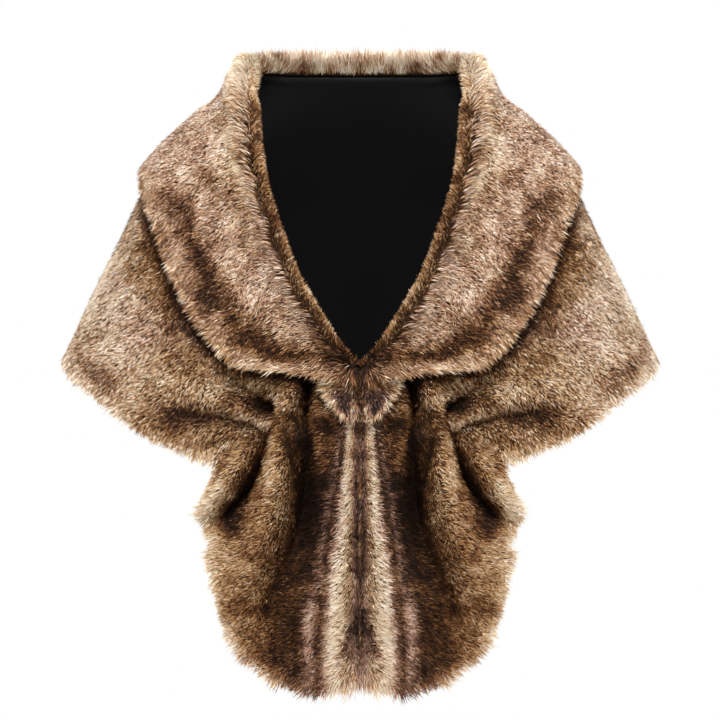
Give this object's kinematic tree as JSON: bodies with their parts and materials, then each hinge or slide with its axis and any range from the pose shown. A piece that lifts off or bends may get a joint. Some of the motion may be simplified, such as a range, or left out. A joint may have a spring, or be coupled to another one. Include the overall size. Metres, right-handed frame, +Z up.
{
  "type": "faux fur capelet",
  "caption": "Faux fur capelet with a wide turned-over collar, gathered fronts and rounded tails, filled out as it is worn.",
  "frame": {"origin": "middle of the neck opening at the height of the neck seam, where the wearer's neck and shoulders hold it", "axes": "+Z up the wearer's spine, -Y out of the front, +X towards the wearer's left"},
  "size_m": [0.6974, 0.3384, 0.7442],
  "materials": {
    "fur": "long pile faux fur, streaked brown and cream",
    "lining": "satin"
  },
  "bodies": {
    "root": {"collar": "fur", "back": "fur", "front_left": "fur", "front_right": "fur", "tail_left": "fur", "tail_right": "fur", "tab_left": "fur", "tab_right": "fur", "lining_back": "lining", "lining_front_left": "lining", "lining_front_right": "lining"}
  },
  "joints": []
}
